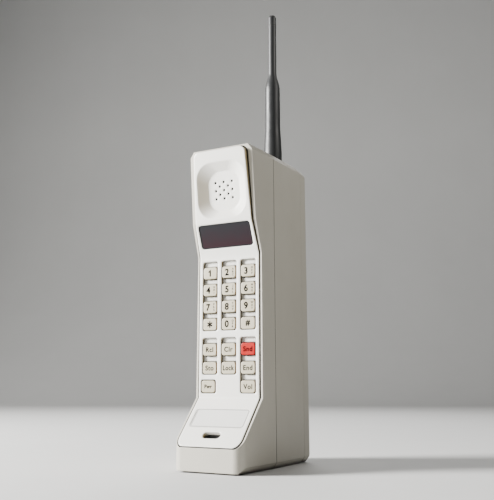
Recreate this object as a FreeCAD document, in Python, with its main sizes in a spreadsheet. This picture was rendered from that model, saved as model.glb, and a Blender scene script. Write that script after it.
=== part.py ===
import FreeCAD, Part
import math
import os
import Sketcher

# Early handheld radio telephone. Millimetres, +Z up, origin under the middle of the
# housing's base. The face with the keys looks along -Y and the battery is at +Y.

DOC = FreeCAD.newDocument("BrickPhone")
SHEET = DOC.addObject("Spreadsheet::Sheet", "Dims")
VECTOR = FreeCAD.Vector

DRIVING = {
    "width": 47.4, "headwidth": 45.4, "height": 194.5, "chin": 45, "back": 45, "seam": 4,
    "baytop": 35, "seamgap": 0.7, "taper": 1.2, "shell": 2.2, "edgex": 3, "edgez": 4,
    "browy": 31.5, "beltz": 148, "belty": 27, "padz": 128, "pady": 20, "footz": 41.5,
    "lipy": 41, "lipz": 18.5, "panelend": 14, "panel": 3, "facegap": 0.85,
    "facebrow": 34.4, "facebelt": 28.1, "facepad": 20.5, "facelip": 41.5,
    "panelhalf": 20.9, "panelbelt": 19.9, "panelbrow": 18.2, "panelchin": 21, "panelz": 192.3,
    "keywide": 9.7, "keyhigh": 7.2, "keyproud": 0.3, "keygap": 0.45, "keypitch": 13.4,
    "rowpitch": 10.6, "lowpitch": 11.1, "firstrow": 117.7, "lowrow": 70.5, "travel": 1,
    "channel": 1.8, "antx": 10, "anty": 20, "anttip": 302, "antthin": 2.8, "antthick": 5.1,
    "antfoot": 6, "studr": 2.9, "runfit": 0.06, "cellr": 7, "cellhigh": 50, "latchrun": 2.5,
    "boardthick": 1.6, "screwr": 1.5, "screwx": 18.6, "batgap": 0.4,
}


class Size:
    """A number that remembers the spreadsheet expression it comes from."""

    def __init__(self, value, text):
        self.value = value
        self.text = text

    def join(self, sign, other, value):
        return Size(value, f"({self.text} {sign} {size(other).text})")

    def __add__(self, other):
        return self.join("+", other, self.value + size(other).value)

    def __sub__(self, other):
        return self.join("-", other, self.value - size(other).value)

    def __mul__(self, other):
        return self.join("*", other, self.value * size(other).value)

    def __truediv__(self, other):
        return self.join("/", other, self.value / size(other).value)

    def __neg__(self):
        return Size(-self.value, f"(0 - {self.text})")

    def __radd__(self, other):
        return size(other) + self

    def __rsub__(self, other):
        return size(other) - self


def size(value):
    """A plain number as a Size; a Size stays as it is."""
    if isinstance(value, Size):
        return value
    return Size(value, f"({value:.6g})")


for line, (alias, number) in enumerate(DRIVING.items(), start=1):
    SHEET.set(f"A{line}", alias)
    SHEET.set(f"B{line}", str(number))
    SHEET.setAlias(f"B{line}", alias)
DOC.recompute()


def dim(alias):
    """The driving dimension of that name."""
    return Size(DRIVING[alias], f"Dims.{alias}")


WIDTH, HEIGHT, SHELL = dim("width"), dim("height"), dim("shell")
HALF = WIDTH / 2
SEAM, BAYTOP, BACK = dim("seam"), dim("baytop"), dim("back")
PANEL, TRAVEL, KEYGAP = dim("panel"), dim("travel"), dim("keygap")
PAD_Y, FACE_Y = dim("pady"), dim("facepad")
ANT_X, ANT_Y = dim("antx"), dim("anty")
SCREW_ROWS = (9, 100, 185)
LATCH_LOW, LATCH_HIGH, LATCH_WIDE, LATCH_GAP = 176, 12, 18.6, 0.4
BELT_TILT = math.degrees(math.atan2(DRIVING["facebelt"] - DRIVING["facepad"],
                                    DRIVING["beltz"] - DRIVING["padz"]))
BROW_TILT = math.degrees(math.atan2(DRIVING["facebrow"] - DRIVING["facebelt"],
                                    DRIVING["height"] - DRIVING["beltz"]))
CHIN_TILT = -math.degrees(math.atan2(DRIVING["facelip"] - DRIVING["facepad"],
                                     DRIVING["footz"] - DRIVING["lipz"]))
EAR_LEVEL, LENS_LEVEL = 167.6, 139.8
PARTS = []


# ---------------------------------------------------------------- helpers

def bind(thing, prop, amount):
    """Ties one property to its expression."""
    thing.setExpression(prop, size(amount).text)


def keep(thing, label):
    """Marks an object as a finished sub-part, which is exported under its Label."""
    thing.Label = label
    PARTS.append(thing)
    return thing


def body(name):
    return DOC.addObject("PartDesign::Body", name)


def sketch(owner, name, role, offset=0, lift=0, tilt=0):
    """A sketch on one of the body's own planes, moved along its normal and tilted about X."""
    drawing = owner.newObject("Sketcher::SketchObject", name)
    plane = next(item for item in owner.Origin.OriginFeatures if item.Role == role)
    drawing.AttachmentSupport = [(plane, "")]
    drawing.MapMode = "FlatFace"
    drawing.AttachmentOffset = FreeCAD.Placement(VECTOR(0, 0, 0), FreeCAD.Rotation(VECTOR(1, 0, 0), tilt))
    bind(drawing, "AttachmentOffset.Base.z", offset)
    bind(drawing, "AttachmentOffset.Base.y", lift)
    return drawing


def pin_point(drawing, edge, spot, across, up):
    """Dimensions one point of the sketch from the origin."""
    for kind, amount in (("DistanceX", size(across)), ("DistanceY", size(up))):
        number = drawing.addConstraint(Sketcher.Constraint(kind, -1, 1, edge, spot, amount.value))
        drawing.setExpression(f"Constraints[{number}]", amount.text)


def polygon(drawing, points):
    """A closed outline whose every corner is dimensioned."""
    points = [(size(across), size(up)) for across, up in points]
    first, count = drawing.GeometryCount, len(points)
    for start, end in zip(points, points[1:] + points[:1]):
        drawing.addGeometry(Part.LineSegment(VECTOR(start[0].value, start[1].value, 0),
                                             VECTOR(end[0].value, end[1].value, 0)), False)
    for step in range(count):
        following = first + (step + 1) % count
        drawing.addConstraint(Sketcher.Constraint("Coincident", first + step, 2, following, 1))
    for step, (across, up) in enumerate(points):
        pin_point(drawing, first + step, 1, across, up)


def rectangle(drawing, middle_x, middle_y, wide, high):
    left, right = size(middle_x) - wide / 2, size(middle_x) + wide / 2
    low, high_edge = size(middle_y) - high / 2, size(middle_y) + high / 2
    polygon(drawing, [(left, low), (right, low), (right, high_edge), (left, high_edge)])


def rounded(drawing, corners):
    """A closed outline from (x, y, radius) corners, each rounded by an arc tangent to its sides."""
    spots = [(VECTOR(size(across).value, size(up).value, 0), radius) for across, up, radius in corners]
    ends = []
    for step, (spot, radius) in enumerate(spots):
        back = (spots[step - 1][0] - spot).normalize()
        ahead = (spots[(step + 1) % len(spots)][0] - spot).normalize()
        half_angle = back.getAngle(ahead) / 2
        reach = radius / math.tan(half_angle)
        start, end = spot + back * reach, spot + ahead * reach
        if radius:
            inward = (back + ahead).normalize()
            crown = spot + inward * (radius / math.sin(half_angle) - radius)
            drawing.addGeometry(Part.Arc(start, crown, end), False)
        ends.append((start, end))
    for (_, start), (end, _) in zip(ends, ends[1:] + ends[:1]):
        if start.distanceToPoint(end) > 1e-6:
            drawing.addGeometry(Part.LineSegment(start, end), False)


def rounded_box(drawing, wide, high, radius, middle_x=0, middle_y=0):
    """A rectangle with round corners; its middle is the sketch's own origin unless given."""
    rounded(drawing, [(middle_x + wide / 2 * across, middle_y + high / 2 * up, radius)
                      for across, up in ((1, 1), (-1, 1), (-1, -1), (1, -1))])


def circle(drawing, across, up, radius):
    across, up, radius = size(across), size(up), size(radius)
    edge = drawing.addGeometry(Part.Circle(VECTOR(across.value, up.value, 0), VECTOR(0, 0, 1),
                                           radius.value), False)
    pin_point(drawing, edge, 3, across, up)
    number = drawing.addConstraint(Sketcher.Constraint("Radius", edge, radius.value))
    drawing.setExpression(f"Constraints[{number}]", radius.text)


def feature(owner, kind, drawing, length=None, both=False, taper=None, flip=False):
    """A pad or pocket of a sketch; with no length a pocket goes through everything."""
    item = owner.newObject(f"PartDesign::{kind}", f"{drawing.Name}_{kind}")
    item.Profile = drawing
    if length is None:
        item.Type = "ThroughAll"
    else:
        bind(item, "Length", length)
    if both:
        item.SideType = "Symmetric"
    if taper is not None:
        bind(item, "TaperAngle", taper)
    item.Reversed = flip
    return item


def dress(owner, kind, radius, chosen):
    """A fillet or chamfer of the edges that the test picks from the body so far."""
    DOC.recompute()
    base = owner.Tip
    names = [f"Edge{count}" for count, edge in enumerate(base.Shape.Edges, start=1) if chosen(edge)]
    if not names:
        raise ValueError(f"no edge to dress on {owner.Label}")
    item = owner.newObject(f"PartDesign::{kind}", f"{owner.Name}_{kind}{len(owner.Group)}")
    item.Base = (base, names)
    bind(item, "Radius" if kind == "Fillet" else "Size", radius)
    return item


def along(edge, axis):
    """True when a straight edge runs along that axis."""
    if edge.Curve.TypeId != "Part::GeomLine":
        return False
    return abs(abs(edge.tangentAt(edge.FirstParameter).dot(axis)) - 1) < 1e-3


def middle(edge):
    return edge.CenterOfMass


def block(name, low, high):
    """A Part box between two corners."""
    box = DOC.addObject("Part::Box", name)
    for prop, start, end, axis in zip(("Length", "Width", "Height"), low, high, "xyz"):
        bind(box, prop, size(end) - start)
        bind(box, f"Placement.Base.{axis}", start)
    return box


def drum(name, radius, length, base, direction=(0, 0, 1)):
    """A Part cylinder from a base point along a direction."""
    round_bar = DOC.addObject("Part::Cylinder", name)
    bind(round_bar, "Radius", radius)
    bind(round_bar, "Height", length)
    turn = FreeCAD.Rotation(VECTOR(0, 0, 1), VECTOR(*direction))
    round_bar.Placement = FreeCAD.Placement(VECTOR(0, 0, 0), turn)
    for axis, place in zip("xyz", base):
        bind(round_bar, f"Placement.Base.{axis}", place)
    return round_bar


def group(name, items):
    """Separate or touching pieces as one shape."""
    fused = DOC.addObject("Part::MultiFuse", name)
    fused.Shapes = items
    return fused


def cut(name, base, tool):
    result = DOC.addObject("Part::Cut", name)
    result.Base, result.Tool = base, tool
    return result


def turned(name, points, across=0, depth=0):
    """A body turned about its own Z axis from (radius, height) points."""
    owner = body(name)
    drawing = sketch(owner, f"{name}_outline", "XZ_Plane")
    polygon(drawing, points)
    spin = owner.newObject("PartDesign::Revolution", f"{name}_turned")
    spin.Profile = drawing
    spin.ReferenceAxis = (drawing, ["V_Axis"])
    spin.Angle = 360
    bind(owner, "Placement.Base.x", across)
    bind(owner, "Placement.Base.y", depth)
    return owner


# ---------------------------------------------------------------- outlines

def face_line(shift=0):
    """Side-view corners of the housing's rim from brow to chin as (y, z), moved inward by shift."""
    shift = size(shift)
    return [(-dim("browy") + shift, HEIGHT), (-dim("belty") + shift, dim("beltz")),
            (-PAD_Y + shift, dim("padz")), (-PAD_Y + shift, dim("footz")),
            (-dim("lipy") + shift, dim("lipz")), (-dim("chin") + shift, dim("panelend"))]


def panel_line():
    """Side-view corners of the panel's own face, which stands proud of the rim, most at the brow."""
    return [(-dim("facebrow"), HEIGHT), (-dim("facebelt"), dim("beltz")), (-FACE_Y, dim("padz")),
            (-FACE_Y, dim("footz")), (-dim("facelip"), dim("lipz")), (-dim("chin") - 0.5, dim("panelend"))]


def housing_section(inset=0, drop=0):
    """The housing seen from the front at its widest: it narrows upward and has bevelled corners.

    Inset draws every side inward, and drop lowers the top.
    """
    edge_x, edge_z, inset = dim("edgex"), dim("edgez"), size(inset)
    foot, head = HALF - inset, dim("headwidth") / 2 - inset
    top = HEIGHT - inset - drop
    right = [(foot - edge_x, inset), (foot, edge_z), (head, top - edge_z), (head - edge_x, top)]
    return right + [(-across, up) for across, up in reversed(right)]


def panel_outline(extra):
    """Half outline of the face panel from the front, foot to head, grown by extra."""
    chin, head = dim("panelchin") + extra, dim("panelz") + extra
    return [(chin, dim("panelend") + 0.6 - extra, 4.5 + extra), (chin, dim("footz"), 30),
            (dim("panelhalf") + extra, dim("padz"), 30), (dim("panelbelt") + extra, dim("beltz"), 60),
            (dim("panelbrow") + extra, head, 3.5 + extra)]


def panel_blank(name, extra, front, depth):
    """The panel's plate before its openings: it follows a face line and has the panel's outline."""
    owner = body(name)
    side = sketch(owner, f"{name}_side", "YZ_Plane")
    polygon(side, front + list(reversed(face_line(depth))))
    feature(owner, "Pad", side, WIDTH, both=True)
    outline = sketch(owner, f"{name}_outline", "XZ_Plane", dim("chin") + 2)
    rectangle(outline, 0, HEIGHT / 2, WIDTH + 4, HEIGHT + 4)
    half = panel_outline(extra)
    rounded(outline, half + [(-across, up, radius) for across, up, radius in reversed(half)])
    feature(owner, "Pocket", outline)
    return owner


KEY_COLUMNS = (-dim("keypitch"), size(0), dim("keypitch"))


def key_places():
    """Name and centre of every key, with the row heights worked out from the pitches."""
    rows = [("1", "2", "3"), ("4", "5", "6"), ("7", "8", "9"), ("star", "0", "hash"),
            ("recall", "clear", "send"), ("store", "lock", "end"), ("power", None, "volume")]
    places = []
    for row, names in enumerate(rows):
        if row < 4:
            level = dim("firstrow") - dim("rowpitch") * row
        else:
            level = dim("lowrow") - dim("lowpitch") * (row - 4)
        for column, name in zip(KEY_COLUMNS, names):
            if name:
                shift = 0.8 if name == "power" else 0
                places.append((name, column - shift, level))
    return places


# ---------------------------------------------------------------- shells

def front_housing():
    """The front shell: tapered forward from the seam, hollow, with a seat for the panel."""
    owner = body("front_shell")
    start = SEAM + dim("seamgap") / 2
    section = sketch(owner, "front_section", "XZ_Plane", start)
    polygon(section, housing_section())
    feature(owner, "Pad", section, dim("chin") - start, taper=-dim("taper"))
    face = sketch(owner, "front_face", "YZ_Plane")
    ahead = -dim("chin") - 20
    line = face_line()
    slope = (dim("browy") - dim("belty")) / (HEIGHT - dim("beltz"))
    head = (line[0][0] - slope * 5, HEIGHT + 5)
    polygon(face, [head] + line[1:] + [(ahead, dim("panelend")), (ahead, HEIGHT + 5)])
    feature(owner, "Pocket", face, WIDTH + 4, both=True)
    hollow = sketch(owner, "front_hollow", "YZ_Plane")
    inner = face_line(PANEL + SHELL)
    top, floor = HEIGHT - 3.4, size(3.4)
    polygon(hollow, [(-SEAM + 1, floor), (-SEAM + 1, top), (inner[0][0], top)] + inner[1:5]
            + [(-dim("chin") + SHELL + 0.6, dim("panelend") - 1), (-dim("chin") + SHELL + 0.6, floor)])
    feature(owner, "Pocket", hollow, WIDTH - 6.4, both=True)
    posts = sketch(owner, "front_posts", "XZ_Plane", start)
    for side in (-1, 1):
        for level in SCREW_ROWS:
            circle(posts, dim("screwx") * side, level, 3)
    feature(owner, "Pad", posts, 11)
    holes = sketch(owner, "front_post_holes", "XZ_Plane", start)
    for side in (-1, 1):
        for level in SCREW_ROWS:
            circle(holes, dim("screwx") * side, level, dim("screwr"))
    feature(owner, "Pocket", holes, 9, flip=True)
    wall = sketch(owner, "front_windows", "XZ_Plane", dim("chin") + 2)
    rectangle(wall, 0, 84, size(40.6), size(86))
    rectangle(wall, 0, 139, size(35), size(16.5))
    rectangle(wall, 0, EAR_LEVEL, size(32), size(39))
    rectangle(wall, 0, 21.5, size(15), size(7))
    feature(owner, "Pocket", wall, 36)
    corners = sketch(owner, "chin_corners", "XY_Plane", -1)
    rectangle(corners, 0, -25, WIDTH + 8, size(60))
    lean = (dim("chin") - start).value * math.tan(math.radians(DRIVING["taper"]))
    tip, root = HALF.value - lean + 0.02, HALF.value + 0.16
    rounded(corners, [(tip, -dim("chin"), 6), (root, 0, 0), (-root, 0, 0), (-tip, -dim("chin"), 6)])
    feature(owner, "Pocket", corners, HEIGHT + 2, flip=True)
    space = panel_blank("panel_space", DRIVING["facegap"], face_line(-2), PANEL)
    return keep(cut("front_cut", owner, space), "front_housing")


def chin_depth(level):
    """How far forward the panel's sloping chin lies at that height."""
    share = (dim("footz") - level) / (dim("footz") - dim("lipz"))
    return FACE_Y + (dim("facelip") - FACE_Y) * share


def lens_depth():
    """How far forward the sloping band lies at the lens's middle."""
    share = (size(LENS_LEVEL) - dim("padz")) / (dim("beltz") - dim("padz"))
    return FACE_Y + (dim("facebelt") - FACE_Y) * share


def face_panel():
    """The bright inset panel with its ear dish, display slot, key channels and microphone slot."""
    owner = panel_blank("panel_plate", 0, panel_line(), PANEL)
    boss = sketch(owner, "ear_boss", "XZ_Plane", dim("belty"))
    rectangle(boss, 0, EAR_LEVEL, size(30), size(37))
    feature(owner, "Pad", boss, 5, flip=True)
    rise = (size(EAR_LEVEL) - dim("beltz")) / (HEIGHT - dim("beltz"))
    ear_y = dim("facebelt") + (dim("facebrow") - dim("facebelt")) * rise
    rim = sketch(owner, "dish_rim", "XZ_Plane", ear_y + 0.2, EAR_LEVEL, BROW_TILT)
    rounded_box(rim, 34.8, 35.4, 10.5)
    floor = sketch(owner, "dish_floor", "XZ_Plane", ear_y - 4.2, EAR_LEVEL, BROW_TILT)
    rounded_box(floor, 22.4, 24.8, 8.5)
    dish = owner.newObject("PartDesign::SubtractiveLoft", "ear_dish")
    dish.Profile = rim
    dish.Sections = [floor]
    dish.Ruled = True
    sound = sketch(owner, "ear_holes", "XZ_Plane", dim("chin"))
    for row in range(5):
        for column in range(3 - row % 2):
            across = (column - (2 - row % 2) / 2) * 5.86
            circle(sound, across, EAR_LEVEL + 0.5 + (2 - row) * 2.53, 0.75)
    feature(owner, "Pocket", sound, 30)
    lens = sketch(owner, "lens_seat", "XZ_Plane", lens_depth(), LENS_LEVEL, BELT_TILT)
    rounded_box(lens, 36.8, 15.2, 2)
    feature(owner, "Pocket", lens, 1.6)
    slot = sketch(owner, "lens_slot", "XZ_Plane", lens_depth(), LENS_LEVEL, BELT_TILT)
    rectangle(slot, 0, 0, size(31), size(10))
    feature(owner, "Pocket", slot, 6)
    channels = sketch(owner, "key_channels", "XZ_Plane", FACE_Y)
    wide = dim("keywide") + KEYGAP * 2 + 0.2
    key_half = dim("keyhigh") / 2 + KEYGAP
    upper_top = dim("firstrow") + key_half + 3.2
    upper_low = dim("firstrow") - dim("rowpitch") * 3 - key_half
    lower_top = dim("lowrow") + key_half + 3.2
    for number, column in enumerate(KEY_COLUMNS):
        lower_low = dim("lowrow") - dim("lowpitch") * (2 if number == 2 else 1) - key_half
        for top, low in ((upper_top, upper_low), (lower_top, lower_low)):
            rounded_box(channels, wide, top - low, 1.4, column, (top + low) / 2)
    power = next(place for place in key_places() if place[0] == "power")
    rounded_box(channels, wide, key_half * 2 + 0.2, 1.4, power[1], power[2])
    feature(owner, "Pocket", channels, dim("channel"))
    holes = sketch(owner, "key_holes", "XZ_Plane", FACE_Y)
    for _, across, level in key_places():
        rounded_box(holes, dim("keywide") + KEYGAP * 2, key_half * 2, 1.9, across, level)
    feature(owner, "Pocket", holes, 8)
    mouth = sketch(owner, "mouth_slot", "XZ_Plane", chin_depth(21.4) + 1, 21.4, CHIN_TILT)
    rounded_box(mouth, 12, 4.6, 2.29)
    feature(owner, "Pocket", mouth, 6)
    seat = sketch(owner, "plate_seat", "XZ_Plane", chin_depth(30.2), 30.2, CHIN_TILT)
    rounded_box(seat, 36.4, 13.4, 1.8)
    feature(owner, "Pocket", seat, 0.5)
    return keep(owner, "face_panel")


def rear_housing():
    """The rear shell: radio space in front, battery bay behind, antenna bore in the top."""
    owner = body("rear_shell")
    section = sketch(owner, "rear_section", "XZ_Plane", -BAYTOP)
    polygon(section, housing_section())
    feature(owner, "Pad", section, BAYTOP + SEAM - dim("seamgap") / 2)
    hollow = sketch(owner, "rear_hollow", "XZ_Plane", SEAM)
    rectangle(hollow, 0, HEIGHT / 2, WIDTH - 5.4, HEIGHT - 6.8)
    feature(owner, "Pocket", hollow, SEAM + 20.6)
    head = sketch(owner, "rear_head", "XZ_Plane", SEAM)
    rectangle(head, 0, 184, size(32), size(14))
    feature(owner, "Pocket", head, SEAM + 31)
    bay = sketch(owner, "battery_bay", "XZ_Plane", -BAYTOP - 1)
    rectangle(bay, 0, 93, size(31.6) + dim("batgap") * 2, size(159.2) + dim("batgap") * 2)
    feature(owner, "Pocket", bay, 11.6, flip=True)
    bore = sketch(owner, "antenna_bore", "XY_Plane", HEIGHT + 1)
    circle(bore, ANT_X, ANT_Y, 5)
    feature(owner, "Pocket", bore, 8)
    port = sketch(owner, "base_port", "XY_Plane", -1)
    rectangle(port, 0, 8, size(24), size(9))
    feature(owner, "Pocket", port, 8, flip=True)
    heads = sketch(owner, "screw_heads", "XZ_Plane", -BAYTOP - 1)
    shanks = sketch(owner, "screw_shanks", "XZ_Plane", -BAYTOP - 1)
    for side in (-1, 1):
        for level in SCREW_ROWS:
            circle(heads, dim("screwx") * side, level, 2.9)
            circle(shanks, dim("screwx") * side, level, dim("screwr") + 0.2)
    feature(owner, "Pocket", heads, 6, flip=True)
    feature(owner, "Pocket", shanks, 42, flip=True)
    pins = sketch(owner, "contact_ports", "XZ_Plane", -BAYTOP)
    for side in (-1, 1):
        circle(pins, side * 10, 20, 2)
    feature(owner, "Pocket", pins, 20, flip=True)
    return keep(owner, "rear_housing")


def seam_gasket():
    """The dark seal that shows as the line between the two shells."""
    gap = dim("seamgap")
    owner = body("gasket_ring")
    ring = sketch(owner, "gasket_outline", "XZ_Plane", SEAM - gap / 2)
    polygon(ring, housing_section(0.7))
    rectangle(ring, 0, HEIGHT / 2, WIDTH - 5.8, HEIGHT - 6.6)
    feature(owner, "Pad", ring, gap)
    return keep(owner, "seam_gasket")


def display_window():
    """The smoked lens set in the sloping band above the keys."""
    owner = body("lens")
    outline = sketch(owner, "lens_outline", "XZ_Plane", lens_depth() - 0.3, LENS_LEVEL, BELT_TILT)
    rectangle(outline, 0, 0, size(36.4), size(14.8))
    feature(owner, "Pad", outline, 1.3, flip=True)
    dress(owner, "Fillet", 1.8, lambda edge: edge.Length < 1.4)
    return keep(owner, "display_window")


def nameplate():
    """The blank thin plate on the chin, with its raised border."""
    owner = body("plate")
    outline = sketch(owner, "plate_outline", "XZ_Plane", chin_depth(30.2), 30.2, CHIN_TILT)
    rectangle(outline, 0, 0, size(36), size(13))
    feature(owner, "Pad", outline, 0.48, flip=True)
    dress(owner, "Fillet", 1.6, lambda edge: edge.Length < 0.6)
    inner = sketch(owner, "plate_inner", "XZ_Plane", chin_depth(30.2), 30.2, CHIN_TILT)
    rectangle(inner, 0, 0, size(34.6), size(11.6))
    feature(owner, "Pocket", inner, 0.15)
    return keep(owner, "nameplate")


# ---------------------------------------------------------------- keypad

def key(name, across, level):
    """One moulded key: a cap that stands proud, and a flange that holds it behind the panel."""
    owner = body(f"key_{name}_moulding")
    cap = sketch(owner, f"cap_{name}", "XZ_Plane", FACE_Y - PANEL)
    rectangle(cap, 0, 0, dim("keywide"), dim("keyhigh"))
    feature(owner, "Pad", cap, PANEL + dim("keyproud"))
    dress(owner, "Fillet", 1.6, lambda edge: along(edge, VECTOR(0, 1, 0)))
    dress(owner, "Fillet", 0.45, lambda edge: middle(edge).y < -FACE_Y.value - 0.2)
    flange = sketch(owner, f"flange_{name}", "XZ_Plane", FACE_Y - PANEL - KEYGAP - 0.4)
    rectangle(flange, 0, 0, dim("keywide") + 2, dim("keyhigh") + 2)
    feature(owner, "Pad", flange, 0.8, flip=True)
    neck = sketch(owner, f"neck_{name}", "XZ_Plane", FACE_Y - PANEL)
    rectangle(neck, 0, 0, dim("keywide") - 1, dim("keyhigh") - 1)
    feature(owner, "Pad", neck, KEYGAP + 0.4, flip=True)
    bind(owner, "Placement.Base.x", across)
    bind(owner, "Placement.Base.z", level)
    return keep(owner, f"key_{name}")


def dome_sheet():
    """The rubber sheet with one dome behind each key, clear of the full key travel."""
    front = -FACE_Y + PANEL + KEYGAP + 1.2 + TRAVEL + 0.3
    web = block("dome_web", (-16.6, front + 0.5, 43.5), (16.6, front + 1.3, 123.5))
    domes = [drum(f"dome_{name}", 2.6, 0.5, (across, front, level), (0, 1, 0))
             for name, across, level in key_places()]
    return keep(group("dome_pieces", [web] + domes), "dome_sheet"), front + 1.3


def keypad_board(front):
    """The switch board that the domes press on."""
    board = block("switch_board", (-16.6, front, 43.5), (16.6, front + dim("boardthick"), 123.5))
    return keep(board, "keypad_board")


# ---------------------------------------------------------------- inside the front shell

def led_display():
    """The red numeral module behind the lens: case and row of numeral blocks."""
    owner = body("numeral_case")
    case = sketch(owner, "numeral_outline", "XZ_Plane", lens_depth() - 4.4, LENS_LEVEL, BELT_TILT)
    rectangle(case, 0, 0, size(30.4), size(9.4))
    feature(owner, "Pad", case, 5.5, flip=True)
    cells = sketch(owner, "numeral_cells", "XZ_Plane", lens_depth() - 4.4, LENS_LEVEL, BELT_TILT)
    for number in range(7):
        rectangle(cells, (number - 3) * 4.1, 0, size(3), size(6))
    feature(owner, "Pad", cells, 0.8)
    return keep(owner, "led_display")


def earpiece():
    """The dynamic receiver and its felt, behind the holes of the ear dish."""
    ear_back = -dim("belty") + 5.2
    felt = drum("felt_disc", 9, 0.8, (0, ear_back, EAR_LEVEL), (0, 1, 0))
    keep(felt, "earpiece_felt")
    case = drum("receiver_case", 12.5, 5, (0, ear_back + 0.8, EAR_LEVEL), (0, 1, 0))
    magnet = drum("receiver_magnet", 7, 3.5, (0, ear_back + 5.8, EAR_LEVEL), (0, 1, 0))
    keep(group("receiver", [case, magnet]), "earpiece_speaker")


def microphone():
    """The electret capsule in its rubber boot behind the chin."""
    slope = math.radians(-CHIN_TILT)
    inward = (0, math.cos(slope), -math.sin(slope))

    def behind(depth):
        """The point at that depth behind the middle of the microphone slot."""
        return (0, -chin_depth(21.4) + depth * inward[1], 21.4 + depth * inward[2])

    boot = drum("boot_outer", 6.2, 6.4, behind(4.9), inward)
    bore = drum("boot_bore", 4.7, 8, behind(5.9), inward)
    keep(cut("boot_cut", boot, bore), "microphone_boot")
    keep(drum("capsule", 4.7, 5, behind(5.9), inward), "microphone")


def chassis():
    """The cast frame that carries the boards, with lightening windows."""
    owner = body("casting")
    plate = sketch(owner, "casting_outline", "XZ_Plane", -1.5)
    rectangle(plate, 0, 96, size(33), size(160))
    for row in range(4):
        rectangle(plate, 0, 36 + row * 40, size(22), size(26))
    feature(owner, "Pad", plate, 2.2)
    rim = sketch(owner, "casting_rim", "XZ_Plane", -1.5)
    rectangle(rim, 0, 96, size(33), size(160))
    rectangle(rim, 0, 96, size(30), size(157))
    feature(owner, "Pad", rim, 4.4)
    return keep(owner, "chassis_frame")


def boards():
    """Logic board in front of the casting and radio board behind it, with what they carry."""
    thick = dim("boardthick")
    logic_y, radio_y = size(-8), size(7)
    keep(block("logic_plate", (-15.4, logic_y, 24), (15.4, logic_y + thick, 142)), "logic_board")
    keep(block("radio_plate", (-15.4, radio_y, 20), (15.4, radio_y + thick, 174)), "radio_board")
    chips = []
    for count, (across, level, wide, high) in enumerate(((-6, 40, 13, 30), (9, 52, 9, 18), (-6, 84, 14, 34),
                                                         (9, 80, 8, 20), (0, 126, 26, 8))):
        chips.append(block(f"chip_{count}", (across - wide / 2, logic_y - 2.6, level - high / 2),
                           (across + wide / 2, logic_y, level + high / 2)))
    keep(group("chips", chips), "logic_chips")
    cans = []
    for count, (level, high) in enumerate(((44, 40), (92, 44), (143, 46))):
        cans.append(block(f"can_{count}", (-15, radio_y + thick, level - high / 2),
                          (15, radio_y + thick + 5, level + high / 2)))
    keep(group("cans", cans), "shield_cans")
    keep(block("filter_block", (-12, 4, 177.8), (3, 30, 189)), "duplexer")
    keep(block("amplifier_block", (-15, radio_y + thick + 5.4, 120), (15, radio_y + thick + 10.6, 160)),
         "power_amplifier")
    spacers = []
    for side in (-1, 1):
        for level in (26, 100, 138):
            spacers.append(drum(f"spacer_{side}_{level}", 1.4, 5.7, (side * 12.5, logic_y + thick, level),
                                (0, 1, 0)))
            spacers.append(drum(f"riser_{side}_{level}", 1.2, 5.5, (side * 12.5, 1.5, level), (0, 1, 0)))
    keep(group("spacers", spacers), "board_spacers")


def ringer():
    """The round sounder low in the front shell."""
    case = drum("ringer_case", 7, 4, (-9, -16, 30), (0, 1, 0))
    port = drum("ringer_port", 1.2, 6, (-9, -17, 30), (0, 1, 0))
    keep(cut("ringer_cut", case, port), "ringer")


def connector():
    """The accessory connector in the base and its row of contacts."""
    owner = body("port_block")
    outline = sketch(owner, "port_outline", "XY_Plane", 0.8)
    rectangle(outline, 0, 8, size(23.8), size(8.8))
    feature(owner, "Pad", outline, 9)
    slot = sketch(owner, "port_slot", "XY_Plane", 0.8)
    rectangle(slot, 0, 8, size(19), size(3.6))
    feature(owner, "Pocket", slot, 3.5, flip=True)
    keep(owner, "accessory_connector")
    pins = [block(f"contact_{count}", ((count - 4) * 2 - 0.5, 7.4, 1.6), ((count - 4) * 2 + 0.5, 8.6, 4.3))
            for count in range(9)]
    keep(group("contacts", pins), "connector_contacts")


def screws():
    """Long screws from the battery side that draw the shells together."""
    items = []
    for side in (-1, 1):
        for level in SCREW_ROWS:
            place = dim("screwx") * side
            items.append(drum(f"shank_{side}_{level}", dim("screwr"), BAYTOP + 6.5, (place, -11.5, level),
                              (0, 1, 0)))
            head = drum(f"head_{side}_{level}", 2.7, 2.4, (place, BAYTOP - 5, level), (0, 1, 0))
            slot = block(f"slot_{side}_{level}", (place - 3, BAYTOP - 3.5, level - 0.4),
                         (place + 3, BAYTOP - 2, level + 0.4))
            items.append(cut(f"slotted_{side}_{level}", head, slot))
    keep(group("screw_set", items), "housing_screws")


# ---------------------------------------------------------------- antenna

def antenna():
    """Threaded socket in the top, brass stud and the moulded rubber whip on it."""
    bore = dim("studr") + dim("runfit")
    top = HEIGHT
    socket = turned("socket", [(bore, top - 11), (4.9, top - 11), (4.9, top), (7.4, top), (7.4, top + 0.8),
                               (bore, top + 0.8)], ANT_X, ANT_Y)
    keep(socket, "antenna_socket")
    stud = turned("stud", [(0, top - 10), (dim("studr"), top - 10), (dim("studr"), top + 8), (0, top + 8)],
                  ANT_X, ANT_Y)
    keep(stud, "antenna_stud")
    thin, thick = dim("antthin"), dim("antthick")
    tip = dim("anttip")
    points = [(dim("studr"), top + 1.2), (dim("antfoot"), top + 1.2), (dim("antfoot"), top + 8),
              (thick + 0.35, top + 20), (thick, top + 26), (thick - 0.1, top + 54), (thick - 0.5, top + 56.6),
              (thin + 0.3, top + 62), (thin, top + 64), (thin, tip - 8.2), (thin - 0.3, tip - 8),
              (thin - 0.3, tip - 7.6), (thin, tip - 7.4), (thin, tip - 2), (thin - 0.8, tip - 0.5),
              (1.2, tip), (0, tip), (0, top + 8), (dim("studr"), top + 8)]
    keep(turned("whip", points, ANT_X, ANT_Y), "antenna_whip")


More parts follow.
